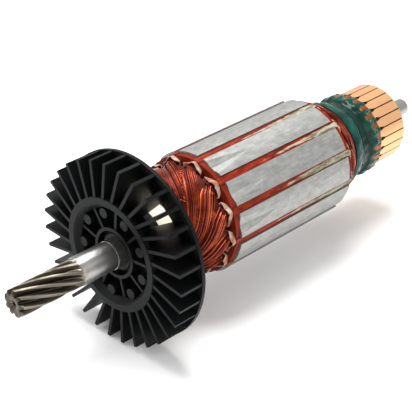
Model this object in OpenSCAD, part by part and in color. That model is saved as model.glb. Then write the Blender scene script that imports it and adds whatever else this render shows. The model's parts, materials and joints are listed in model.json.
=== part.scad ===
// Armature (rotor) of a heavy rotary-hammer motor, pinion end towards -X,
// commutator end towards +X. The shaft axis is the X axis and the origin is the
// middle of the drive-end bearing seat. All sizes are in millimetres.

/* [Shaft] */
// Diameter of the drive-end bearing seat
seat_d = 12; // [11:0.1:12]
// Diameter of the commutator-end bearing seat
tail_d = 8; // [7:0.1:9]
// Distance from the middle of the drive-end seat to the pinion tip
pinion_reach = 38.7; // [34:0.1:44]
// Length of the tail stub beyond the commutator
tail_len = 22.1; // [18:0.1:26]

/* [Pinion] */
// Number of helical teeth
teeth = 9; // [8:1:10]
// Diameter over the tooth tips
pinion_d = 11.5; // [11.0:0.1:11.6]
// Depth of the tooth gaps
tooth_h = 2.25; // [1.8:0.05:2.5]
// Lead of the helix, one full turn of a tooth
pinion_lead = 102.6; // [90:0.2:130]
// Clocking of the teeth at the pinion tip
pinion_clock = 10; // [0:0.5:40]
// Length of the toothed part, run-out of the hob included
pinion_len = 31; // [28:0.5:32]

/* [Fan] */
// Outer diameter of the fan
fan_d = 79.2; // [74:0.2:84]
// Number of blades
blades = 31; // [25:1:33]
// Thickness of a blade
blade_t = 1.4; // [1.0:0.1:1.6]
// Angle by which a blade leans away from the radius
blade_lean = 8.1; // [4:0.1:12]
// Clocking of the first blade and of the first rib in the hub
blade_clock = 53.47; // [40:0.01:60]
rib_clock = 15.2; // [0:0.1:40]
// Axial depth of the blades, front edge to the back of the rim
blade_depth = 12.8; // [11.5:0.1:14]
// Diameter of the front collar
collar_d = 48.2; // [46:0.2:50]
// Number of stiffening ribs in the hub recess
hub_ribs = 9; // [6:1:12]
// Distance from the middle of the drive-end seat to the front of the fan
fan_x = 8.7; // [8.5:0.1:10]
// Length of the hub tube, from the front of the fan
hub_len = 17.3; // [15:0.1:18]
// Distance from the front of the fan to the air inlet lip
inlet_set = 16.2; // [15:0.1:17]
// Length of the ivory spacer behind the hub
spacer_len = 8; // [6:0.5:10]

/* [Core] */
// Distance from the middle of the drive-end seat to the lamination stack
core_x = 56; // [54:0.1:60]
// Diameter over the laminations
core_d = 53; // [52:0.2:55]
// Length of the lamination stack
core_len = 68.2; // [60:0.1:74]
// Width of the slot opening
slot_mouth = 3.4; // [2.8:0.1:3.8]
// Clocking of the first slot about the axis, measured from +Y towards +Z
slot_clock = 6.57; // [0:0.01:30]
// Clocking of the first slit of the commutator
comm_clock = 5.77; // [0:0.01:15]
// Depth of the milled balance cuts
balance_cut = 1.35; // [0.8:0.05:1.6]

/* [Winding] */
// Number of slots that a coil spans
coil_span = 5; // [4:1:5]
// Thickness of a coil bundle at the heads
bundle_d = 5.4; // [4.6:0.2:5.8]
// How far the slot liners stand out of the core
cuff = 5; // [4:0.1:6]
// Length of the rear winding head, from the core to the commutator hooks
rear_head = 27.2; // [26:0.1:30]
// Where the green resin starts behind the core
resin_set = 13.6; // [12:0.1:14]

/* [Commutator] */
// Number of copper bars
bars = 24; // [24]
// Diameter of the brush track
comm_d = 36; // [35:0.2:37]
// Length of the brush track
track_len = 18.0; // [16:0.5:20]
// Width of the slit between two bars
slit = 0.6; // [0.4:0.1:0.8]

/* [Hidden] */
$fn = 72;
eps = 0.01;
slots = 12;

// stations along the axis
tip_x = -pinion_reach;
rim_t = 1.6;                  // thickness of the rear rim
fan_back = fan_x + blade_depth;
hub_back = fan_x + hub_len;     // rear end of the hub tube
spacer_back = hub_back + spacer_len; // shoulder of the shaft
eye_x = fan_x + inlet_set;    // inlet lip of the shroud
core_back = core_x + core_len;
plate_t = 2.5;                // end insulators
head_x = core_x - cuff;       // the front winding head starts here
head_back = core_back + cuff; // the rear winding head starts here
resin_x = core_back + resin_set;
hook_x = core_back + rear_head; // tips of the hooks
riser_x = hook_x + 6.2;       // the brush track starts here
track_x = riser_x + track_len;
tail_reach = track_x + tail_len;
relief_x = fan_x - 1.3;       // end of the bearing seat, a relief groove follows

// radii
seat_r = seat_d / 2;
press_r = seat_r + 0.1;       // the fan is pressed on here
body_r = seat_r + 1;          // shaft body behind the shoulder
tube_r = body_r + 1.5;        // insulating tube on the shaft
tail_r = tail_d / 2;
tip_r = pinion_d / 2;
root_r = tip_r - tooth_h;      // bottom of the tooth gaps
fan_r = fan_d / 2;
collar_r = collar_d / 2;
hub_r = seat_r + 8.3;         // hub tube of the fan
eye_r = collar_r + 0.3;       // air inlet in the shroud
core_r = core_d / 2;
plate_r = core_r - 1;
comm_r = comm_d / 2;
mould_r = comm_r - 6;         // the bars stand on this radius
slit_r = comm_r - 0.8;        // the insulation between bars stops here
hook_r = comm_r + 1.1;

// slot section: height of the tooth tip, top and bottom of the coil space
lip_h = 0.8;
slot_top = core_r - 2.2;
slot_low = tube_r + 5.2;
tooth_w = 5.4;
film = 0.35;                  // thickness of the slot liner
wedge_top = core_r - 0.7;

// ---------- helpers
// profile of [x, r] points spun about the X axis
module spin(pts) rotate([0, 90, 0]) rotate_extrude() polygon([for (p = pts) [p[1], p[0]]]);
// flat shape in the Y-Z plane, extruded towards +X from x
module axial(x, len) translate([x, 0, 0]) rotate([90, 0, 90]) linear_extrude(len) children();
module tube(x, len, ro, ri) axial(x, len) difference() { circle(ro); circle(ri); }
module around(n, start) for (i = [0 : n - 1]) rotate([start + i * 360 / n, 0, 0]) children();
function arc(cx, cy, r, a0, a1, n) =
    [for (i = [0 : n]) let (a = a0 + (a1 - a0) * i / n) [cx + r * cos(a), cy + r * sin(a)]];

// ---------- shaft with its helical pinion
// half angle of a tooth at k of its height, in degrees: full flanks and a rounded crest
function tooth_half(k) = 180 / teeth * (0.8 - 0.2 * k - 0.3 * k * k);
module pinion_section() {
    // flanks start below the root and end above the tip, so both get turned to size
    steps = [-0.1, 0.28, 0.55, 0.83, 1.05];
    function flank(i, side, order) = [for (j = order)
        let (k = steps[j], a = i * 360 / teeth + side * tooth_half(k))
        (root_r + tooth_h * k) * [cos(a), sin(a)]];
    polygon([for (i = [0 : teeth - 1])
        each concat(flank(i, -1, [0, 1, 2, 3, 4]), flank(i, 1, [4, 3, 2, 1, 0]))]);
}
module pinion() {
    cut = 0.9;                  // tip chamfer
    intersection() {
        translate([tip_x, 0, 0]) rotate([90, 0, 90]) rotate([0, 0, pinion_clock])
            linear_extrude(pinion_len - 0.1, slices = 14,
                twist = -360 * (pinion_len - 0.1) / pinion_lead) pinion_section();
        spin([[tip_x - 1, 0], [tip_x - 1, tip_r - cut - 1], [tip_x + cut, tip_r],
              [tip_x + pinion_len, tip_r], [tip_x + pinion_len, 0]]);
    }
}
module shaft() color("silver") difference() {
    run = tip_x + pinion_len;   // the tooth gaps run out to the surface here
    hob = 26;                   // radius of the hob that leaves the run-out
    a = acos(1 - (seat_r - root_r) / hob);
    union() {
        pinion();
        spin(concat([[tip_x, 0], [tip_x, root_r - 0.3], [tip_x + 0.3, root_r]],
            [for (i = [0 : 6]) let (t = a * i / 6)
                [run - hob * sin(a) + hob * sin(t), root_r + hob * (1 - cos(t))]],
            [[relief_x, seat_r], [relief_x, seat_r - 0.3], [relief_x + 1, seat_r - 0.3],
             [relief_x + 1, press_r], [spacer_back, press_r], [spacer_back, body_r],
             [hook_x - 2, body_r], [hook_x - 2, seat_r + 0.3], [track_x + 1.2, seat_r + 0.3],
             [track_x + 1.2, tail_r - 0.4],
             [track_x + 3, tail_r - 0.4], [track_x + 3.4, tail_r], [tail_reach - 0.8, tail_r],
             [tail_reach, tail_r - 0.8], [tail_reach, 0]]));
    }
    // centre-drill holes in both ends
    spin([[tip_x - 1, 0], [tip_x - 1, 2.2], [tip_x + 1.2, 0.9], [tip_x + 3, 0.9], [tip_x + 3, 0]]);
    spin([[tail_reach + 1, 0], [tail_reach + 1, 2.2], [tail_reach - 1.2, 0.9],
          [tail_reach - 3, 0.9], [tail_reach - 3, 0]]);
}

// ---------- moulded fan
module blade() {
    // outline in the plane of the blade: x along the shaft, y down from the tip
    in = fan_r - hub_r + 1.1;   // the leaning blade has farther to go to reach the hub
    eye = fan_r - eye_r;
    translate([0, fan_r - 0.25, 0]) rotate([blade_lean, 0, 0])
        linear_extrude(blade_t, center = true) polygon([
            [fan_x + 0.2, 0], [fan_x + 0.2, -(fan_r - collar_r) - 1.5], [fan_x + 3, -(fan_r - collar_r) - 3.5],
            [fan_x + 8, -(fan_r - collar_r) - 4.5], [fan_x + 8, -in],
            [fan_x + 10.2, -in], [eye_x + 0.3, -eye], [fan_back - 0.6, -2], [fan_back - 0.6, 0]]);
}
module fan() color([0.12, 0.12, 0.13]) {
    lip = collar_r - 3.2;
    wall = collar_r - 5.1;
    boss = seat_r + 4.8;
    spin([[fan_x, collar_r], [fan_x + 2.2, collar_r], [fan_x + 3.2, lip], [fan_x + 9, lip - 0.5],
          [fan_x + 9, hub_r + 0.4], [hub_back, hub_r], [hub_back, hub_r - 2.1],
          [hub_back - 4.9, hub_r - 2.1], [hub_back - 4.9, press_r], [fan_x + 3.8, press_r],
          [fan_x + 3.8, seat_r + 1.6], [fan_x + 5.6, seat_r + 1.6], [fan_x + 5.6, boss - 1.4],
          [fan_x + 2.3, boss - 1.4], [fan_x + 2.3, boss], [fan_x + 7, boss],
          [fan_x + 7, wall - 0.7], [fan_x + 2.5, wall], [fan_x + 0.7, lip - 0.4], [fan_x, lip + 0.4]]);
    // rim and dished shroud round the air inlet
    spin([[fan_back, fan_r], [fan_back - rim_t, fan_r], [fan_back - rim_t, fan_r - 2.1],
          [eye_x - 0.9, eye_r + 1.6], [eye_x, eye_r], [eye_x + 1.3, eye_r],
          [eye_x + 0.6, eye_r + 2.2], [fan_back, fan_r - 3]]);
    around(blades, blade_clock) blade();
    around(hub_ribs, rib_clock) translate([fan_x + 2.6, boss - 0.6, -0.6])
        cube([5, wall - boss + 1, 1.2]);
    around(hub_ribs, rib_clock + 180 / hub_ribs) translate([fan_x + 1.5, collar_r - 7.0, 0])
        rotate([0, 90, 0]) cylinder(h = 6, d = 4.2, $fn = 24);
}

// ---------- ivory spacer between fan and winding
module spacer_bush() color([0.9, 0.87, 0.78]) {
    r = hub_r - 0.4;
    spin([[hub_back - 4.9, press_r], [hub_back - 4.9, hub_r - 2.1], [hub_back, hub_r - 2.1],
          [hub_back, r], [spacer_back - 0.5, r], [spacer_back, r - 0.5], [spacer_back, press_r]]);
}

// ---------- insulating tube between shaft and core
module shaft_tube() color([0.25, 0.2, 0.18])
    tube(spacer_back + 2, hook_x - 2 - spacer_back - 2, tube_r, body_r);

// ---------- laminated core
function slot_half(r) = PI * r / slots - tooth_w / 2;
module slot_space(g) {           // coil space of a slot along +X, made smaller by g
    hw = slot_half(slot_top - 0.8);
    offset(delta = -g) polygon(concat(
        [[slot_top, -hw + 1.6], [slot_top, hw - 1.6], [slot_top - 1.2, hw]],
        arc(slot_low + 1.3, 0, 1.3, 80, 280, 8),
        [[slot_top - 1.2, -hw]]));
}
module slot_cut() {
    slot_space(0);
    translate([slot_top - 1, -slot_mouth / 2]) square([core_r - slot_top + 3, slot_mouth]);
    hw = slot_half(slot_top - 0.8);
    polygon([[slot_top - 0.6, -hw + 1.2], [core_r - lip_h - 0.3, -slot_mouth / 2],
             [core_r - lip_h - 0.3, slot_mouth / 2], [slot_top - 0.6, hw - 1.2]]);
}
module each_slot() for (i = [0 : slots - 1]) rotate(slot_clock + i * 360 / slots) children();
module lamination(r) difference() {
    circle(r);
    circle(tube_r);
    each_slot() slot_cut();
}
module core() color([0.72, 0.72, 0.71]) difference() {
    axial(core_x, core_len) lamination(core_r);
    // three lands milled at the front end to balance the rotor
    for (k = [3.5, 4.5, 5.5]) rotate([slot_clock + k * 30, 0, 0])
        translate([core_x, core_r - balance_cut, 0]) rotate([0, 0, atan(balance_cut / 21)])
            rotate([90, 0, 90]) translate([0, 0, -2]) linear_extrude(30)
                polygon([[0, 0], [3, -10.5], [3, 10.5]]);
}
module end_plate(x) color([0.55, 0.1, 0.05]) axial(x, plate_t) lamination(plate_r);
module insulator_front() end_plate(core_x - plate_t);
module insulator_rear() end_plate(core_back);

// ---------- slot liners and wedges
module slot_liner(i) color([0.9, 0.8, 0.72])
    rotate([slot_clock + i * 360 / slots, 0, 0]) axial(head_x, head_back - head_x)
        difference() { slot_space(0.05); slot_space(film + 0.05); }
module slot_wedge(i) color([0.8, 0.3, 0.15])
    rotate([slot_clock + i * 360 / slots, 0, 0]) axial(core_x - plate_t, core_len + 2 * plate_t) {
        hw = slot_half(slot_top - 0.8);
        polygon([[slot_top, -hw + 1.7], [core_r - lip_h - 0.35, -slot_mouth / 2 + 0.05],
                 [wedge_top, -slot_mouth / 2 + 0.05], [wedge_top, slot_mouth / 2 - 0.05],
                 [core_r - lip_h - 0.35, slot_mouth / 2 - 0.05], [slot_top, hw - 1.7]]);
    }

// ---------- winding: coil sides in the slots, crossing coil ends at both heads
// a point of the coil end: t runs 0..1 from one slot to the other, e = +1 rear, -1 front
function swell(t) = pow(sin(180 * t), 0.75);
function coil_pt(t, e) = let (
    a = 30 * coil_span * t,
    x = e < 0 ? head_x - 0.4 - 10.2 * swell(t) : head_back + 1.2 + 4.4 * swell(t),
    over = 0.9 * cos(180 * t),   // the coil climbs over its neighbours, then dives under
    r = over + (e < 0 ? core_r - 6.1 - 6.4 * pow(swell(t), 2.2)
                      : core_r - 6.6 - 3.0 * pow(swell(t), 2)))
    [x, r * cos(a), r * sin(a)];
function unit(v) = v / norm(v);
module coil_end(e) {
    n = 14;
    m = 8;
    w = e < 0 ? bundle_d / 2 : bundle_d / 2 - 0.5;
    pts = [for (i = [0 : n]) let (
        t = i / n,
        side = i == 0 ? 1 : i == n ? -1 : 0,   // both ends stand straight on their leg
        c = coil_pt(t, e) - [side == 0 ? 0 : e < 0 ? -0.2 : 0.8, 0, 0],
        d = side != 0 ? [e * side, 0, 0] : unit(coil_pt(t + 0.02, e) - coil_pt(t - 0.02, e)),
        o = unit(cross(d, cross([0, c[1], c[2]], d))), s = cross(d, o))
        for (j = [0 : m - 1]) let (b = 360 * j / m + 22.5)
            c + o * w * 0.85 * cos(b) + s * w * 1.1 * sin(b)];
    polyhedron(pts, concat(
        [[for (j = [0 : m - 1]) j]],
        [for (i = [0 : n - 1]) for (j = [0 : m - 1])
            [i * m + j, (i + 1) * m + j, (i + 1) * m + (j + 1) % m, i * m + (j + 1) % m]],
        [[for (j = [m - 1 : -1 : 0]) n * m + j]]));
}
module winding() color([0.6, 0.2, 0.12]) {
    each_leg() axial(head_x - 1, head_back - head_x + 2) slot_space(film + 0.1);
    // the packed inside of the two heads
    spin([[head_x, tube_r], [head_x - 12.5, tube_r], [head_x - 13.2, tube_r + 2],
          [head_x - 12, core_r - 12.5], [head_x - 8, core_r - 7.6], [head_x - 3, core_r - 4.6],
          [head_x, core_r - 4.1]]);
    spin([[head_back, tube_r], [head_back, core_r - 4.4], [head_back + 4, core_r - 5],
          [resin_x, core_r - 7], [resin_x, tube_r]]);
    around(slots, slot_clock) coil_end(-1);
    around(slots, slot_clock) coil_end(1);
}
module each_leg() around(slots, slot_clock) children();

// ---------- commutator
module hook() {                  // tang folded back over the coil lead, along +Y
    w = 2.0;
    t = 1.1;
    lo = comm_r - 2.4;
    translate([0, 0, -w / 2]) linear_extrude(w) polygon(concat(
        [[riser_x + 0.5, lo], [riser_x + 0.5, comm_r - 0.3]],
        [[riser_x - 1.4, hook_r]],
        arc(hook_x + 1.7, hook_r - 1.7, 1.7, 90, 270, 8),
        [[hook_x + 2.6, hook_r - 3.4], [hook_x + 2.6, hook_r - 3.4 + t]],
        arc(hook_x + 1.7, hook_r - 1.7, 1.7 - t, 270, 90, 6),
        [[riser_x - 1.9, hook_r - t], [riser_x - 1.9, lo]]));
}
module bar(i) color([0.85, 0.5, 0.25]) rotate([comm_clock + (i + 0.5) * 360 / bars, 0, 0]) {
    half = 180 / bars;
    difference() {
        intersection() {
            spin([[riser_x - 2.2, mould_r], [riser_x - 2.2, comm_r - 1.6], [riser_x - 0.6, comm_r],
                  [track_x - 0.8, comm_r], [track_x, comm_r - 0.8], [track_x, mould_r]]);
            axial(riser_x - 3, track_len + 4) polygon([
                [(slit / 2) / sin(half), 0],
                [(slit / 2) / sin(half) + 40 * cos(half), 40 * sin(half)],
                [(slit / 2) / sin(half) + 40 * cos(half), -40 * sin(half)]]);
        }
        // the slit widens to a keyhole next to the riser
        for (s = [-1, 1]) rotate([s * half, 0, 0]) translate([riser_x + 1.2, comm_r - 3, 0])
            rotate([-90, 0, 0]) cylinder(h = 5, r = 0.95, $fn = 16);
    }
    hook();
}
module commutator_mould() color([0.16, 0.11, 0.08]) {
    bore = seat_r + 0.3;
    spin([[hook_x - 2, bore], [hook_x - 2, mould_r - 1], [hook_x, mould_r],
          [track_x, mould_r], [track_x + 0.8, mould_r - 0.8], [track_x + 0.8, bore]]);
    // webs between the bars
    around(bars, comm_clock) translate([0, 0, -slit / 2]) linear_extrude(slit)
        polygon([[riser_x - 2.2, mould_r - 1], [riser_x - 2.2, comm_r - 1.7],
                 [riser_x - 1.3, slit_r], [track_x - 0.1, slit_r], [track_x - 0.1, mould_r - 1]]);
}

// ---------- green resin over the leads and hooks
module resin() color([0.1, 0.3, 0.22]) difference() {
    union() {
        spin([[resin_x, tube_r], [resin_x, core_r - 6.2], [resin_x + 2.4, core_r - 6.3],
              [resin_x + 5, core_r - 7.3], [resin_x + 8.5, core_r - 8.4],
              [resin_x + 11.5, core_r - 8.6], [hook_x - 0.4, core_r - 8.3],
              [hook_x + 1, hook_r - 0.5], [riser_x - 2.2, hook_r - 0.5],
              [riser_x - 2.2, mould_r + 0.01], [hook_x, mould_r + 0.01], [hook_x - 2, mould_r - 0.99],
              [hook_x - 2, tube_r]]);
        // beads of resin between the hooks
        around(bars, comm_clock) translate([riser_x - 0.4, comm_r - 0.7, 0])
            rotate([0, -90, 0]) cylinder(h = 6.4, r = 2.0, $fn = 20);
    }
    around(bars, comm_clock + 180 / bars) hook_room();
    spin([[riser_x - 2.2, 0], [riser_x - 2.2, comm_r - 1.6], [riser_x - 0.6, comm_r],
          [riser_x + 1, comm_r], [riser_x + 1, 0]]);
}
module hook_room() translate([hook_x - 0.01, comm_r - 3.2, -1.01])
    cube([riser_x - hook_x + 1, 6, 2.02]);

shaft();
fan();
spacer_bush();
shaft_tube();
core();
insulator_front();
insulator_rear();
winding();
commutator_mould();
resin();
slot_liner(0);  // slot_liner_1
slot_liner(1);  // slot_liner_2
slot_liner(2);  // slot_liner_3
slot_liner(3);  // slot_liner_4
slot_liner(4);  // slot_liner_5
slot_liner(5);  // slot_liner_6
slot_liner(6);  // slot_liner_7
slot_liner(7);  // slot_liner_8
slot_liner(8);  // slot_liner_9
slot_liner(9);  // slot_liner_10
slot_liner(10);  // slot_liner_11
slot_liner(11);  // slot_liner_12
slot_wedge(0);  // slot_wedge_1
slot_wedge(1);  // slot_wedge_2
slot_wedge(2);  // slot_wedge_3
slot_wedge(3);  // slot_wedge_4
slot_wedge(4);  // slot_wedge_5
slot_wedge(5);  // slot_wedge_6
slot_wedge(6);  // slot_wedge_7
slot_wedge(7);  // slot_wedge_8
slot_wedge(8);  // slot_wedge_9
slot_wedge(9);  // slot_wedge_10
slot_wedge(10);  // slot_wedge_11
slot_wedge(11);  // slot_wedge_12
bar(0);  // bar_1
bar(1);  // bar_2
bar(2);  // bar_3
bar(3);  // bar_4
bar(4);  // bar_5
bar(5);  // bar_6
bar(6);  // bar_7
bar(7);  // bar_8
bar(8);  // bar_9
bar(9);  // bar_10
bar(10);  // bar_11
bar(11);  // bar_12
bar(12);  // bar_13
bar(13);  // bar_14
bar(14);  // bar_15
bar(15);  // bar_16
bar(16);  // bar_17
bar(17);  // bar_18
bar(18);  // bar_19
bar(19);  // bar_20
bar(20);  // bar_21
bar(21);  // bar_22
bar(22);  // bar_23
bar(23);  // bar_24
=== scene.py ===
# %% [markdown]
# # Dressing a motor armature
# An armature is the turning part of a brushed motor: a ground shaft with a helical pinion,
# a moulded cooling fan, a stack of slotted steel sheets with copper coils in the slots, and a
# commutator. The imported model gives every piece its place. This lesson gives the pieces their
# finishes and adds what a plain solid can't show: single wires, soaked film and poured resin.

# %% Load the frame
import json
import math
import random

import bmesh
import bpy
from mathutils import Matrix, Vector


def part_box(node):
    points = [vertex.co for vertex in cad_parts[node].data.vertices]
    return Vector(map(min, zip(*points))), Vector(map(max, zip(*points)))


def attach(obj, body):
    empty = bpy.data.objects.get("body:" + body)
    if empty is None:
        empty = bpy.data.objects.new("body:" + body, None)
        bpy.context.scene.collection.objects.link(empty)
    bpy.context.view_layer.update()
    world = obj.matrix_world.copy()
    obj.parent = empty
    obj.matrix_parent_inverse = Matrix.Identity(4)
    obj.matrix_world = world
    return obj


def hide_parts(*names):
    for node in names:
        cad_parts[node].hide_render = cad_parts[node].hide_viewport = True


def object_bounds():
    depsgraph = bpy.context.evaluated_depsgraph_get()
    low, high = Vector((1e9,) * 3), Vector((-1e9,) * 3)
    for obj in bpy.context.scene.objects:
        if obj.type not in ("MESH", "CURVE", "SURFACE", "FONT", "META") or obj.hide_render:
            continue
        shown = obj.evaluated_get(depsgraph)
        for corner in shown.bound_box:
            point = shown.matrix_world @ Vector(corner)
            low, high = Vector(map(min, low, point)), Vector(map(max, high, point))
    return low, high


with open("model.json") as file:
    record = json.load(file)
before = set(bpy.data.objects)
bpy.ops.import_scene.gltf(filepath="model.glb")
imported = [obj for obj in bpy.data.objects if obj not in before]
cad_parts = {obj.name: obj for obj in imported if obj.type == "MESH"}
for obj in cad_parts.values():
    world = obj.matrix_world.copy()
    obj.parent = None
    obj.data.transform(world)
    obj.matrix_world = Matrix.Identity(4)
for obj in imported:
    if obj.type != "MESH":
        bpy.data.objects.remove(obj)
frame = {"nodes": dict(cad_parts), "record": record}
cad_low, cad_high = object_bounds()
MM = 0.001
rng = random.Random(11)
print("length of the armature in mm:", round((cad_high[0] - cad_low[0]) / MM, 1))

# %% [markdown]
# ## Sizes that the pieces share
# The shaft axis is the X axis. Places along it and outer radii are read from the boxes of the
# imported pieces, so a wire lands on the coil of the model. The counts, the clock angles and the
# cut of the pinion can't be read from a box, and repeat what the model was built with.

# %% Read the stations and radii


def span(node):
    """First and last place of a piece along the shaft."""
    low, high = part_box(node)
    return low[0], high[0]


def radius(node):
    """Largest radius of a round piece."""
    low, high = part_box(node)
    return (high[2] - low[2]) / 2


TIP_X, TAIL_X = span("shaft")
CORE_X, CORE_BACK = span("core")
HEAD_X, HEAD_BACK = span("slot_liner_1")
RESIN_X, RISER_X = span("resin")
RISER_X += 0.4 * MM
CORE_R = radius("core")
SLOTS = 12
SLOT_PITCH = 360 / SLOTS
BARS = 24
SLOT_CLOCK = 6.57
COMM_CLOCK = 5.77
TEETH = 9
PINION_LEAD = 102.6 * MM
PINION_CLOCK = 10
PINION_LEN = 31 * MM
SEAT_R = 6.0 * MM
TIP_R = 5.75 * MM  # over the tooth crests
TOOTH_H = 2.25 * MM
print("core from", round(CORE_X / MM, 1), "to", round(CORE_BACK / MM, 1), "mm")

# %% [markdown]
# ## Camera, light and floor
# A long lens from the pinion end, a little above the shaft, shows fan, winding and commutator
# at once. The floor is plain and pale. Three soft lamps light the work: a big one overhead, a
# small one to the left, and a low one in front that shapes the pinion and the fan.

# %% Camera
CAMERA_PLACE = (-0.26303, -0.31664, 0.25929)
CAMERA_TURN, CAMERA_DROP = math.radians(45.786), math.radians(29.718)
CAMERA_LENS, CAMERA_SENSOR = 110.28, 36


def set_camera():
    turn, drop = CAMERA_TURN, CAMERA_DROP
    heading = Vector((math.sin(turn), math.cos(turn), 0))
    forward = heading * math.cos(drop) - Vector((0, 0, math.sin(drop)))
    right = Vector((heading.y, -heading.x, 0))
    up = right.cross(forward)
    bpy.ops.object.camera_add()
    camera = bpy.context.object
    camera.name = "camera"
    turned = Matrix((right, up, -forward)).transposed().to_4x4()
    camera.matrix_world = Matrix.Translation(CAMERA_PLACE) @ turned
    camera.data.lens = CAMERA_LENS
    camera.data.sensor_width = CAMERA_SENSOR
    bpy.context.scene.camera = camera
    return camera


camera = set_camera()
print("camera at", [round(v, 3) for v in camera.matrix_world.translation])

# %% Lamps, world and floor
WORLD_LIGHT = 0.8
FLOOR_GAP = 0.5 * MM


def soft_lamp(name, place, target, size, watts):
    bpy.ops.object.light_add(type="AREA", location=place)
    lamp = bpy.context.object
    lamp.name = name
    lamp.data.shape = "SQUARE"
    lamp.data.size = size
    lamp.data.energy = watts
    lamp.rotation_euler = (Vector(target) - Vector(place)).to_track_quat("-Z", "Y").to_euler()


middle = (0.08, 0, 0)
soft_lamp("lamp_over", (0.12, 0.12, 0.62), middle, 0.42, 6.0)
soft_lamp("lamp_left", (-0.35, 0.35, 0.42), (0.02, 0, 0), 0.3, 0.9)
soft_lamp("lamp_front", (-0.10, -0.55, 0.20), middle, 0.5, 1.0)

world = bpy.data.worlds.new("studio")
world.use_nodes = True
bpy.context.scene.world = world
backdrop = world.node_tree.nodes["Background"]
backdrop.inputs["Color"].default_value = (1, 1, 1, 1)
backdrop.inputs["Strength"].default_value = WORLD_LIGHT
bpy.context.scene.view_settings.view_transform = "Standard"


def lay_floor():
    height = cad_low[2] - FLOOR_GAP
    bpy.ops.mesh.primitive_plane_add(size=12, location=(0, 0, height))
    floor = bpy.context.object
    floor.name = "floor"
    bpy.ops.object.transform_apply(location=True, rotation=True, scale=True)
    return floor


floor = lay_floor()
print("floor under the fan at", round(cad_low[2] / MM, 1), "mm")

# %% [markdown]
# ## A small language for finishes
# A finish is a net of shader nodes. Sums of masks and noises read best as sums, so a small
# class wraps a socket and lets Python's own signs add the Math nodes.

# %% The socket class


class Net:
    """A material's node tree, and the one way to add a node to it."""

    def __init__(self, name):
        self.material = bpy.data.materials.new(name)
        self.material.use_nodes = True
        self.tree = self.material.node_tree
        self.shader = self.tree.nodes["Principled BSDF"]
        place = self.node("ShaderNodeTexCoord")
        self.place = place.out("Object")

    def node(self, kind, settings=None, **sockets):
        made = self.tree.nodes.new(kind)
        for key, value in (settings or {}).items():
            setattr(made, key, value)
        wrapped = NodeOf(self, made)
        for key, value in sockets.items():
            wrapped.feed(key.replace("_", " "), value)
        return wrapped

    def finish(self, **sockets):
        wrapped = NodeOf(self, self.shader)
        for key, value in sockets.items():
            wrapped.feed(key.replace("_", " "), value)
        return self.material


class NodeOf:
    """A node: sockets are fed and read by name."""

    def __init__(self, net, made):
        self.net = net
        self.made = made

    def feed(self, name, value):
        socket = self.made.inputs[name]
        if isinstance(value, Flow):
            self.net.tree.links.new(value.socket, socket)
        else:
            socket.default_value = value

    def out(self, name=0):
        return Flow(self.net, self.made.outputs[name])


class Flow:
    """What comes out of a socket. The signs + - * and / add Math nodes."""

    def __init__(self, net, socket):
        self.net = net
        self.socket = socket

    def maths(self, operation, first, second=None, clamp=False):
        made = self.net.tree.nodes.new("ShaderNodeMath")
        made.operation = operation
        made.use_clamp = clamp
        wrapped = NodeOf(self.net, made)
        wrapped.feed(0, first)
        if second is not None:
            wrapped.feed(1, second)
        return wrapped.out()

    def __add__(self, other):
        return self.maths("ADD", self, other)

    def __radd__(self, other):
        return self.maths("ADD", other, self)

    def __sub__(self, other):
        return self.maths("SUBTRACT", self, other)

    def __rsub__(self, other):
        return self.maths("SUBTRACT", other, self)

    def __mul__(self, other):
        return self.maths("MULTIPLY", self, other)

    def __rmul__(self, other):
        return self.maths("MULTIPLY", other, self)

    def __truediv__(self, other):
        return self.maths("DIVIDE", self, other)

    def __rtruediv__(self, other):
        return self.maths("DIVIDE", other, self)

    def clamped(self):
        return self.maths("ADD", self, 0.0, clamp=True)

    def absolute(self):
        return self.maths("ABSOLUTE", self)

    def sine(self):
        return self.maths("SINE", self)

    def sine_degrees(self):
        return self.maths("SINE", self * (math.pi / 180))


# %% [markdown]
# ## Noise, blends and bumps
# Nearly every finish here is a base colour, a second colour through a noise, and a fine bump.
# These helpers take that work. Stretching the noise along the shaft or round it makes
# streaks or turning marks.

# %% Noise, mix and bump helpers


def stretched(net, along, around):
    """Object coordinates scaled along the shaft and across it, per metre."""
    return net.node(
        "ShaderNodeMapping", None, Vector=net.place, Scale=(along, around, around)
    ).out()


def noise(net, along, around, detail=3.0, rough=0.55):
    return net.node(
        "ShaderNodeTexNoise", None, Vector=stretched(net, along, around),
        Scale=1.0, Detail=detail, Roughness=rough,
    ).out(0)


def ramp(net, value, low, high):
    """0 below low, 1 above high, and a straight line between them."""
    return ((value - low) / (high - low)).clamped()


def blend(net, mask, first, second):
    """The first colour where mask is 0 and the second where it is 1."""
    mix = net.node("ShaderNodeMix", {"data_type": "RGBA"})
    mix.feed(0, mask)
    for index, colour in ((6, first), (7, second)):
        mix.feed(index, colour if isinstance(colour, Flow) else (*colour, 1))
    return mix.out(2)


def bump(net, height, depth):
    return net.node("ShaderNodeBump", None, Height=height, Distance=depth, Strength=1.0).out()


def cylindrical(net):
    """Place along the shaft, distance from its axis, and angle from +Y in degrees."""
    parts = net.node("ShaderNodeSeparateXYZ", None, Vector=net.place)
    x, y, z = parts.out(0), parts.out(1), parts.out(2)
    reach = x.maths("SQRT", y * y + z * z)
    turn = x.maths("ARCTAN2", z, y) * (180 / math.pi)
    return x, reach, turn


print("helpers ready")

# %% [markdown]
# ## Steel of the shaft
# The shaft is ground between centres, so fine rings run round it. The pinion is hobbed and
# hardened and keeps a brown film of oil. One flank of every tooth and the gaps are painted darker
# as painted shade, the crests are lighter as wear and painted highlight, and the end face of the
# tip is painted dark as painted shade. A mask along the shaft tells the two finishes apart.

# %% Ground steel and oiled pinion


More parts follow.
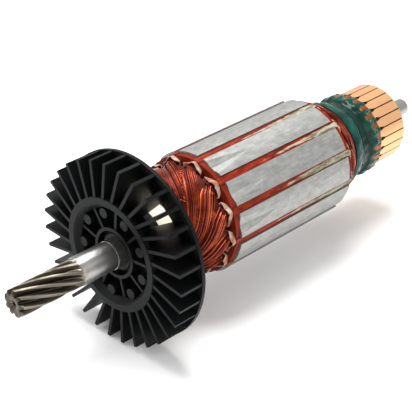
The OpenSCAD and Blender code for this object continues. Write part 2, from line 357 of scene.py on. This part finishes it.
def shaft_steel():
    net = Net("ground_steel")
    rings = noise(net, 9000, 60)
    cloud = noise(net, 300, 300)
    x, reach, turn = cylindrical(net)
    oiled = ramp(net, x * -1 + 3.5 * MM * cloud, 8.5 * MM, 11.5 * MM)
    ground = blend(net, cloud, (0.29, 0.285, 0.27), (0.44, 0.43, 0.415))
    phase = (turn - PINION_CLOCK - (x - TIP_X) * (360 / PINION_LEAD)) * TEETH
    # One flank of every tooth, and the gaps beside it, are painted dark: painted shade of the flanks
    # that face down.
    flank_painted_shade = ramp(net, phase.sine_degrees() + 0.5 * (cloud - 0.5), -0.35, 0.1)
    # The crests are painted lighter: crest wear and a painted highlight.
    crest_wear_and_glint = ramp(net, reach, 5.66 * MM, 5.74 * MM)
    brown = blend(net, flank_painted_shade, (0.165, 0.142, 0.108), (0.036, 0.029, 0.020))
    brown = blend(net, crest_wear_and_glint * 0.35, brown, (0.46, 0.42, 0.35))
    # The end face of the tip is painted dark: painted shade.
    beyond_tip = ramp(net, x, TIP_X + 0.1 * MM, TIP_X + 0.5 * MM)
    brown = blend(net, beyond_tip, (0.060, 0.053, 0.038), brown)
    return net.finish(
        Base_Color=blend(net, oiled, ground, brown),
        Metallic=0.95,
        Roughness=0.24 + 0.14 * rings + 0.06 * oiled,
        Normal=bump(net, rings, 0.00002),
    )


# %% [markdown]
# ## Moulded plastics
# The fan is glass-filled nylon: nearly black, with a faint grain and a soft shine on its
# edges. The spacer behind it is ivory nylon, and the bar insulation a dark brown moulding.

# %% Plastics


def plastic(name, dark, light, rough, shine=0.35, grain=1500, depth=0.00003):
    net = Net(name)
    fine = noise(net, grain, grain)
    cloud = noise(net, 120, 120)
    return net.finish(
        Base_Color=blend(net, cloud, dark, light),
        Roughness=rough + 0.12 * fine,
        Specular_IOR_Level=shine,
        Normal=bump(net, fine, depth),
    )


# %% [markdown]
# ## Ground laminations
# The stack is turned after winding, which smears the sheet edges and leaves dull and bright
# patches. Long streaks lie along the stack, and a fine ripple across them is the sheets.

# %% Lamination finish
SHEET_PITCH = 1.0 * MM


def laminations():
    net = Net("ground_laminations")
    streak = noise(net, 110, 1100, 5.0, 0.65)
    patch = noise(net, 240, 420, 6.0, 0.7)
    x, _, _ = cylindrical(net)
    sheets = (x * (2 * math.pi / SHEET_PITCH)).sine() * 0.5 + 0.5
    dull = ramp(net, patch * 0.6 + streak * 0.4, 0.36, 0.66)
    return net.finish(
        Base_Color=blend(net, dull, (0.235, 0.235, 0.225), (0.41, 0.41, 0.395)),
        Metallic=0.72,
        Roughness=0.36 + 0.2 * streak,
        Normal=bump(net, sheets * 0.5 + patch, 0.00005),
    )


# %% [markdown]
# ## Wire, film, strip and resin
# Winding wire is copper seen through orange-red enamel and brown varnish. The film of the
# slots is pale and soaked, the closing strips are red, and the resin is a deep glossy green.

# %% Winding finishes


def enamelled_wire(name, deep, bright, rough, coat=0.12):
    net = Net(name)
    cloud = noise(net, 170, 170)
    fine = noise(net, 500, 500)
    tone = ramp(net, cloud * 0.75 + fine * 0.25, 0.36, 0.64)
    return net.finish(
        Base_Color=blend(net, tone, deep, bright),
        Metallic=0.6,
        Roughness=rough + 0.15 * fine,
        Coat_Weight=coat,
        Coat_Roughness=0.2,
        Specular_IOR_Level=0.3,
    )


def varnished_strip():
    """A red strip with film pulled over its middle, more of it toward the rear, and painted shade
    along its edges by the slot walls.
    """
    net = Net("varnished_strip")
    cloud = noise(net, 180, 700)
    wide = noise(net, 28, 70)
    x, _, turn = cylindrical(net)
    across = ((turn - SLOT_CLOCK) * SLOTS).sine_degrees()
    rear = ramp(net, x, CORE_X + 4 * MM, CORE_X + 60 * MM)
    red = blend(net, ramp(net, cloud, 0.35, 0.65), (0.11, 0.008, 0.003), (0.27, 0.026, 0.008))
    film = blend(net, ramp(net, cloud, 0.4, 0.6), (0.15, 0.12, 0.075), (0.36, 0.36, 0.26))
    aside = across - 0.12
    edge = 0.8 * rear - 0.32 + 0.9 * (wide - 0.5) + 0.5 * (cloud - 0.5)
    filmed = 1 - ramp(net, aside.absolute() - edge, 0.0, 0.12)
    # The edges of the strip by the slot walls are painted dark: painted shade.
    slot_edge_painted_shade = ramp(net, across.absolute(), 0.55, 0.68)
    shade = blend(net, slot_edge_painted_shade, blend(net, filmed, red, film), (0.06, 0.01, 0.006))
    return net.finish(Base_Color=shade, Roughness=0.45, Specular_IOR_Level=0.1)


def soaked_film():
    net = Net("soaked_film")
    cloud = noise(net, 400, 400)
    tone = ramp(net, cloud, 0.38, 0.66)
    return net.finish(
        Base_Color=blend(net, tone, (0.46, 0.36, 0.27), (0.30, 0.09, 0.045)),
        Roughness=0.4,
        Specular_IOR_Level=0.3,
    )


def poured_resin():
    """Green resin, painted darker in its hollow as painted shade, and speckled between the hooks."""
    net = Net("poured_resin")
    cloud = noise(net, 160, 160)
    x, _, _ = cylindrical(net)
    behind = (x - RESIN_X) + 4 * MM * (cloud - 0.5)
    # The hollow behind the ridge is painted darker: painted shade.
    hollow_painted_shade = ramp(net, behind, 5 * MM, 9 * MM) * (1 - ramp(net, behind, 11.5 * MM, 14 * MM))
    green = blend(net, ramp(net, cloud, 0.4, 0.7), (0.001, 0.026, 0.019), (0.004, 0.070, 0.049))
    green = blend(net, hollow_painted_shade * 0.8, green, (0.0005, 0.012, 0.008))
    specks = ramp(net, noise(net, 500, 500), 0.52, 0.62) * ramp(net, behind, 14 * MM, 16 * MM)
    return net.finish(
        Base_Color=blend(net, specks * 0.5, green, (0.20, 0.24, 0.13)),
        Roughness=0.18,
        Specular_IOR_Level=0.2,
    )


# %% [markdown]
# ## Turned copper
# The brush track is skimmed in a lathe, so very fine rings run round the bright copper, and
# the hooks in front of it, which were welded, are browner. A dark notch that narrows into
# each bar from the hooks is painted shade of an opening, not a cut in the copper.

# %% Commutator copper


def turned_copper():
    net = Net("turned_copper")
    rings = noise(net, 7000, 40)
    cloud = noise(net, 220, 220)
    x, _, turn = cylindrical(net)
    hook = 1 - ramp(net, x, RISER_X - 1.5 * MM, RISER_X + 0.5 * MM)
    bright = blend(net, cloud, (0.79, 0.41, 0.19), (0.92, 0.53, 0.27))
    # A dark notch narrowing into each bar from the hooks: painted shade of an opening.
    slit = ((turn - COMM_CLOCK) * BARS + 90).sine_degrees()
    needed = 0.42 + 0.5 * ramp(net, x, RISER_X + 0.2 * MM, RISER_X + 3.6 * MM)
    notch_painted_shade = ramp(net, slit - needed, 0.0, 0.05)
    notch_painted_shade = notch_painted_shade * (1 - ramp(net, x, RISER_X + 3.4 * MM, RISER_X + 3.8 * MM))
    bright = blend(net, notch_painted_shade, bright, (0.025, 0.012, 0.008))
    return net.finish(
        Base_Color=blend(net, hook, bright, (0.30, 0.09, 0.03)),
        Metallic=0.85,
        Roughness=0.3 + 0.12 * rings,
        Normal=bump(net, rings, 0.00001),
    )


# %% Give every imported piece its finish
FINISH = {
    "steel": shaft_steel(),
    "fan_plastic": plastic(
        "fan_nylon", (0.0022, 0.0025, 0.0028), (0.005, 0.0055, 0.006), 0.38, 0.12
    ),
    "ivory_plastic": plastic("ivory_nylon", (0.66, 0.60, 0.46), (0.76, 0.70, 0.56), 0.4),
    "brown_insulation": plastic("brown_tube", (0.10, 0.05, 0.03), (0.16, 0.08, 0.05), 0.45),
    "laminations": laminations(),
    "red_insulation": plastic(
        "red_plate", (0.07, 0.005, 0.002), (0.24, 0.022, 0.007), 0.4, 0.1
    ),
    # The winding solid shows only between the wires and is painted near black: painted shade of the
    # gaps.
    "enamelled_wire": enamelled_wire(
        "wire_gaps_painted_shade", (0.04, 0.003, 0.002), (0.11, 0.010, 0.005), 0.55, 0
    ),
    "commutator_moulding": plastic(
        "bar_moulding", (0.02, 0.012, 0.009), (0.05, 0.03, 0.02), 0.5
    ),
    "green_resin": poured_resin(),
    "liner_film": soaked_film(),
    "wedge_strip": varnished_strip(),
    "commutator_copper": turned_copper(),
}
slot_of = {part["node"]: part["material_slot"] for part in frame["record"]["subparts"]}


def dress(piece, material):
    piece.data.materials.clear()
    piece.data.materials.append(material)


for node, piece in frame["nodes"].items():
    for place in piece.material_slots:
        place.material = FINISH[slot_of[node]]
print("dressed", len(frame["nodes"]), "packed pieces")

# %% [markdown]
# ## Skins drawn ring by ring
# Resin, film and pinion are all skins that change along the shaft. Each starts as one circle,
# which is extruded to the next station and set to the section it has there. That is how one
# would draw it by hand, and it keeps the mesh in clean rings.

# %% The ring tool


def ring_skin(name, rings, ends=True):
    """Extrudes a circle of points through the rings, each a list of places."""
    bpy.ops.object.select_all(action="DESELECT")
    bpy.ops.mesh.primitive_circle_add(vertices=len(rings[0]), radius=1)
    piece = bpy.context.object
    piece.name = name
    bpy.ops.object.mode_set(mode="EDIT")
    bpy.ops.mesh.select_mode(type="EDGE")
    bpy.ops.mesh.select_all(action="SELECT")
    mesh = bmesh.from_edit_mesh(piece.data)
    mesh.verts.ensure_lookup_table()
    for vertex, place in zip(mesh.verts, rings[0]):
        vertex.co = place
    if ends:
        bpy.ops.mesh.edge_face_add()
        bpy.ops.mesh.select_all(action="SELECT")
    for ring in rings[1:]:
        if ends:
            bpy.ops.mesh.extrude_region_move()
        else:
            bpy.ops.mesh.extrude_edges_move()
        mesh = bmesh.from_edit_mesh(piece.data)
        mesh.verts.ensure_lookup_table()
        picked = [v for v in mesh.verts if v.select]
        for vertex, place in zip(picked, ring):
            vertex.co = place
    bmesh.update_edit_mesh(piece.data)
    bpy.ops.mesh.select_all(action="SELECT")
    bpy.ops.mesh.normals_make_consistent(inside=False)
    bpy.ops.object.mode_set(mode="OBJECT")
    return piece


def polar(x, r, degrees):
    """A place at station x and radius r. 0 degrees is +Y, 90 is +Z."""
    a = math.radians(degrees)
    return (x, r * math.cos(a), r * math.sin(a))


print("ring tool ready")

# %% [markdown]
# ## Wires of the winding heads
# A coil leaves one slot as a bundle of enamelled wires, crosses the face of the core and dives
# into a slot further round. The solid of the winding has those bundles. Here every wire on
# the outside of a bundle is drawn as a thin tube, because single wires are what one sees.

# %% Path of a coil bundle
COIL_SPAN = 5
WIRE_R = 0.29 * MM
COVERED = 256
LEG_DEPTH = 3.0 * MM


def swell(t):
    return max(math.sin(math.pi * t), 0) ** 0.75


def bundle_middle(t, rear):
    """Middle of the bundle at t, from 0 in one slot to 1 in the other."""
    s = swell(t)
    over = 0.9 * math.cos(math.pi * t)
    if rear:
        x = HEAD_BACK + (1.2 + 4.4 * s) * MM
        r = CORE_R + (over - 6.6 - 3.0 * s ** 2) * MM
    else:
        x = HEAD_X - (0.4 + 10.2 * s) * MM
        r = CORE_R + (over - 6.1 - 6.4 * s ** 2.2) * MM
    return Vector(polar(x, r, SLOT_PITCH * COIL_SPAN * t))


def wire_path(rear, start, wobble, lift, steps=26):
    """Places along one wire that lies on its bundle at the angle start."""
    half = (2.2 if rear else 2.7) * MM
    way = 1 if rear else -1
    places = []
    for i in range(steps + 1):
        t = i / steps
        here = bundle_middle(t, rear)
        ahead = bundle_middle(min(t + 0.02, 1), rear) - bundle_middle(max(t - 0.02, 0), rear)
        if i == 0 or i == steps:
            ahead = Vector((way if i == 0 else -way, 0, 0))
        ahead.normalize()
        outward = ahead.cross(Vector((0, here.y, here.z)).cross(ahead)).normalized()
        aside = ahead.cross(outward)
        b = start + wobble[0] * math.sin(wobble[1] + 5 * t) + wobble[2] * (t - 0.5)
        a_half = 0.85 * half + WIRE_R * 0.3 + lift
        b_half = 1.1 * half + WIRE_R * 0.3 + lift
        places.append(here + outward * a_half * math.cos(b) + aside * b_half * math.sin(b))
    depth = Vector((-way * LEG_DEPTH, 0, 0))
    return [places[0] + depth] + places + [places[-1] + depth]


# %% Draw the wires of one head


def wind_head(name, rear, wires):
    """Lays the wires over the outside of each bundle, COVERED degrees of it."""
    bpy.ops.object.select_all(action="DESELECT")
    bpy.ops.curve.primitive_bezier_curve_add()
    coil = bpy.context.object
    coil.name = name
    coil.data.splines.clear()
    for slot in range(SLOTS):
        turn = Matrix.Rotation(math.radians(SLOT_CLOCK + SLOT_PITCH * slot), 4, "X")
        for k in range(wires):
            start = math.radians(-COVERED / 2 + COVERED * (k + rng.uniform(-0.3, 0.3)) / (wires - 1))
            wobble = (rng.uniform(0.02, 0.13), rng.uniform(0, 6.3), rng.uniform(-0.35, 0.35))
            lift = rng.choice((0, 0, 0, 0.12, 0.25)) * MM
            path = wire_path(rear, start, wobble, lift)
            line = coil.data.splines.new("POLY")
            line.points.add(len(path) - 1)
            for point, place in zip(line.points, path):
                point.co = (*(turn @ place), 1)
    coil.data.bevel_depth = WIRE_R
    coil.data.bevel_resolution = 0
    coil.data.use_fill_caps = True
    coil.data.dimensions = "3D"
    bpy.ops.object.convert(target="MESH")
    coil = bpy.context.object
    bpy.ops.object.shade_smooth()
    bpy.ops.object.transform_apply(location=True, rotation=True, scale=True)
    print(name, "has", len(coil.data.polygons), "faces")
    return coil


WIRE_FINISHES = [
    enamelled_wire("wire_deep", (0.09, 0.006, 0.003), (0.26, 0.022, 0.009), 0.26),
    enamelled_wire("wire_red", (0.14, 0.012, 0.005), (0.46, 0.07, 0.022), 0.22),
    # The brightest of the three wire finishes stands in for glints on the wires: painted highlight.
    enamelled_wire("wire_painted_glint", (0.34, 0.048, 0.014), (0.66, 0.17, 0.05), 0.18),
]


def paint_wires(coil, count):
    """Gives each wire, a run of equal length in the face list, one of the finishes."""
    for finish in WIRE_FINISHES:
        coil.data.materials.append(finish)
    run = len(coil.data.polygons) // count
    chosen = [rng.choice((0, 0, 1, 1, 1, 2)) for k in range(count)]
    for face in coil.data.polygons:
        face.material_index = chosen[min(face.index // run, count - 1)]


WIRES = 21
for name, rear in (("wires_front", False), ("wires_rear", True)):
    wires = wind_head(name, rear, WIRES)
    paint_wires(wires, SLOTS * WIRES)
    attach(wires, "root")

# %% [markdown]
# ## Slot liners with open cuffs
# Each slot is lined with a film that stands out of the core as a cuff. Its mouth is pressed
# open by the wires and its edge is wavy and soaked, so a straight box looks wrong. The film
# is drawn as a thin skin: narrow in the slot and flared at both ends.

# %% Section and skin of a liner
TOOTH_W = 5.4 * MM
LIP_H = 0.8 * MM
SLOT_TOP = CORE_R - 2.2 * MM
SLOT_LOW = 13.7 * MM


def liner_section(open_by, peak):
    """Half outline of the film: radius and half width, from the mouth to the floor."""
    half = math.pi * (SLOT_TOP - 0.8 * MM) / SLOTS - TOOTH_W / 2
    side = [
        (SLOT_TOP + peak, 0.5 * MM),
        (SLOT_TOP + 0.45 * peak, half * 0.42),
        (SLOT_TOP - 0.15 * MM, half - 1.3 * MM),
        (SLOT_TOP - 1.25 * MM, half + open_by),
        (SLOT_TOP - 3.2 * MM, half * 0.86 + open_by),
        (SLOT_TOP - 6.5 * MM, half * 0.56 + open_by * 0.6),
        (SLOT_LOW + 1.2 * MM, 1.15 * MM + open_by * 0.3),
        (SLOT_LOW, 0.5 * MM),
    ]
    return side + [(r, -w) for r, w in reversed(side)]


def liner(index):
    """One liner. A station has a place, how far it opens, its peak and the wave of its edge."""
    turn = SLOT_CLOCK + SLOT_PITCH * index
    stations = [
        (HEAD_X + 0.4 * MM, 1.7 * MM, 1.25 * MM, 0.45 * MM),
        (HEAD_X + 1.5 * MM, 0.8 * MM, 1.2 * MM, 0.2 * MM),
        (CORE_X - 2.4 * MM, -0.02 * MM, 1.0 * MM, 0.0),
        (CORE_X + 0.5 * MM, -0.12 * MM, 0.0, 0.0),
        (CORE_BACK - 0.5 * MM, -0.12 * MM, 0.0, 0.0),
        (CORE_BACK + 2.4 * MM, -0.02 * MM, 0.4 * MM, 0.0),
        (HEAD_BACK - 1.6 * MM, 0.5 * MM, 0.3 * MM, 0.3 * MM),
        (HEAD_BACK - 0.6 * MM, 0.9 * MM, 0.2 * MM, 0.5 * MM),
    ]
    rings = []
    for x, open_by, peak, wave in stations:
        ring = []
        for r, w in liner_section(open_by, peak):
            shift = rng.uniform(-1, 1) * wave
            place = Vector((x + shift, r + rng.uniform(-0.15, 0.15) * wave, w))
            ring.append(Matrix.Rotation(math.radians(turn), 3, "X") @ place)
        rings.append(ring)
    piece = ring_skin(f"liner_{index + 1}", rings, ends=False)
    bpy.ops.object.modifier_add(type="SOLIDIFY")
    piece.modifiers[-1].thickness = 0.28 * MM
    piece.modifiers[-1].offset = 0
    bpy.ops.object.modifier_apply(modifier=piece.modifiers[-1].name)
    return piece


for index in range(SLOTS):
    film = liner(index)
    dress(film, FINISH["liner_film"])
    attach(film, "root")
    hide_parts(f"slot_liner_{index + 1}")
print("lined", SLOTS, "slots")

# %% [markdown]
# ## Shaft with a hobbed pinion
# The teeth wind round the shaft like the strands of a rope, and each gap runs out where the
# hob left the steel. The skin is drawn ring by ring from one rule: the radius at an angle is
# the tooth form, turned with the helix, and never below the floor that the hob leaves.

# %% Rule of the pinion and rings of the shaft
ROOT_R = TIP_R - TOOTH_H
HOB_R = 26 * MM


def smooth(t):
    t = min(max(t, 0), 1)
    return t * t * (3 - 2 * t)


def tooth_profile(share):
    """Height of the tooth, 0 to 1, at a share of the half pitch from its crest."""
    crest, foot = 0.3, 0.84
    rise = 1 - min(max((share - crest) / (foot - crest), 0), 1)
    return rise ** 0.9


def shaft_radius(x, degrees, plain):
    """Radius of the shaft skin: the plain turned form, cut by the tooth gaps."""
    beyond = TIP_X + PINION_LEN - x
    if beyond <= 0:
        return plain
    turned = degrees - PINION_CLOCK - 360 * (x - TIP_X) / PINION_LEAD
    pitch = 360 / TEETH
    share = abs((turned + pitch / 2) % pitch - pitch / 2) / (pitch / 2)
    run_out = HOB_R * math.sin(math.acos(1 - (SEAT_R - ROOT_R) / HOB_R))
    floor = ROOT_R
    if beyond < run_out:
        floor = ROOT_R + HOB_R * (1 - math.cos(math.asin((run_out - beyond) / HOB_R)))
    if floor >= plain:
        return plain
    return min(plain, floor + (plain - floor) * tooth_profile(share))


def shaft_rings():
    """Stations and plain radii of the turned form, in millimetres from the seat."""
    tip, tail = TIP_X / MM, TAIL_X / MM
    plain = [(tip + 2.4, 0.9), (tip + 1.0, 1.0), (tip, 2.2), (tip, 4.6), (tip + 0.35, 5.2)]
    plain += [(tip + 0.8 + 0.45 * i, 5.75) for i in range(66)]
    end = tip + PINION_LEN / MM
    plain += [(end - 1.2 + 0.4 * i, 5.75 + 0.25 * smooth(i / 3)) for i in range(4)]
    plain += [(7.39, 6.0), (7.41, 5.85), (8.39, 5.85), (8.41, 6.05), (33.95, 6.1)]
    plain += [(34.05, 7.0), (149.3, 7.0), (149.4, 6.3)]
    neck = tail - 20.9
    plain += [(neck, 6.3), (neck + 0.05, 3.65), (neck + 1.9, 3.6), (neck + 2.3, 3.95)]
    plain += [(neck + 2.5, 4.0), (tail - 0.75, 4.0), (tail - 0.05, 3.25), (tail, 3.1)]
    plain += [(tail, 2.2), (tail - 1.2, 0.9), (tail - 3.0, 0.85)]
    return plain


# %% Draw the shaft


def draw_shaft(points=216):
    rings = []
    for x, r in shaft_rings():
        ring = []
        for k in range(points):
            degrees = 360 * k / points
            # The centre hole in the tip is inside the root circle and stays round.
            skin = shaft_radius(x * MM, degrees, r * MM) if r > 3 else r * MM
            ring.append(polar(x * MM, skin, degrees))
        rings.append(ring)
    piece = ring_skin("shaft_ground", rings)
    bpy.ops.object.shade_smooth_by_angle(angle=math.radians(40))
    return piece


shaft = draw_shaft()
dress(shaft, FINISH["steel"])
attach(shaft, "root")
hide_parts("shaft")
print("shaft has", len(shaft.data.polygons), "faces")

# %% [markdown]
# ## Poured resin
# The leads to the commutator are drowned in green resin, which runs down over them while the
# armature turns and sets in ridges and beads. The skin is turned round the shaft, and its
# radius is raised over the leads, between the hooks and wherever the resin gathered.

# %% Rings of the resin


def resin_radius(x, degrees):
    """Radius of the resin at an angle and at x millimetres behind the start of the resin."""
    form = [(0, 19.9), (1.2, 20.2), (2.6, 20.1), (5, 19.1), (8.5, 17.7), (11.0, 17.6),
            (13.2, 18.9), (15.0, 19.2), (18.8, 18.9), (20.2, 18.0)]
    r = form[-1][1]
    for (x0, r0), (x1, r1) in zip(form, form[1:]):
        if x0 <= x <= x1:
            r = r0 + (r1 - r0) * smooth((x - x0) / (x1 - x0))
            break
    lead = math.sin(math.radians(BARS * (degrees - COMM_CLOCK) + 16 * x))
    wander = math.sin(math.radians(5 * degrees + 25 * x))
    r += 0.12 * lead * smooth(x / 3) * smooth((14 - x) / 4)
    r += 0.12 * wander
    between = math.cos(math.radians(BARS * (degrees - COMM_CLOCK)))
    bead = smooth((x - 11.5) / 2.5) * smooth((20.4 - x) / 1.4)
    r += bead * (0.3 * between + 0.15 * math.sin(math.radians(7 * degrees + 50)))
    return r * MM


def pour_resin(points=288):
    length = (RISER_X - RESIN_X) / MM
    steps = 44
    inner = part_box("shaft_tube")[1][2]
    rings = [[polar(RESIN_X, inner, 360 * k / points) for k in range(points)]]
    for i in range(steps + 1):
        x = length * i / steps
        rings.append([
            polar(RESIN_X + x * MM, resin_radius(x, 360 * k / points), 360 * k / points)
            for k in range(points)
        ])
    rings.append([polar(RISER_X, 12.2 * MM, 360 * k / points) for k in range(points)])
    piece = ring_skin("resin_poured", rings, ends=False)
    bpy.ops.object.shade_smooth_by_angle(angle=math.radians(60))
    return piece


resin = pour_resin()
dress(resin, FINISH["green_resin"])
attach(resin, "root")
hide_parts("resin")
print("resin has", len(resin.data.polygons), "faces")

# %% [markdown]
# ## Floor finish
# A matt floor with hardly any cloud in it takes the shadow and draws no eye.

# %% Colour of the floor


def pale_floor():
    net = Net("pale_floor")
    cloud = noise(net, 3, 3)
    return net.finish(
        Base_Color=blend(net, cloud, (0.93, 0.93, 0.93), (0.96, 0.96, 0.96)), Roughness=0.9
    )


dress(floor, pale_floor())
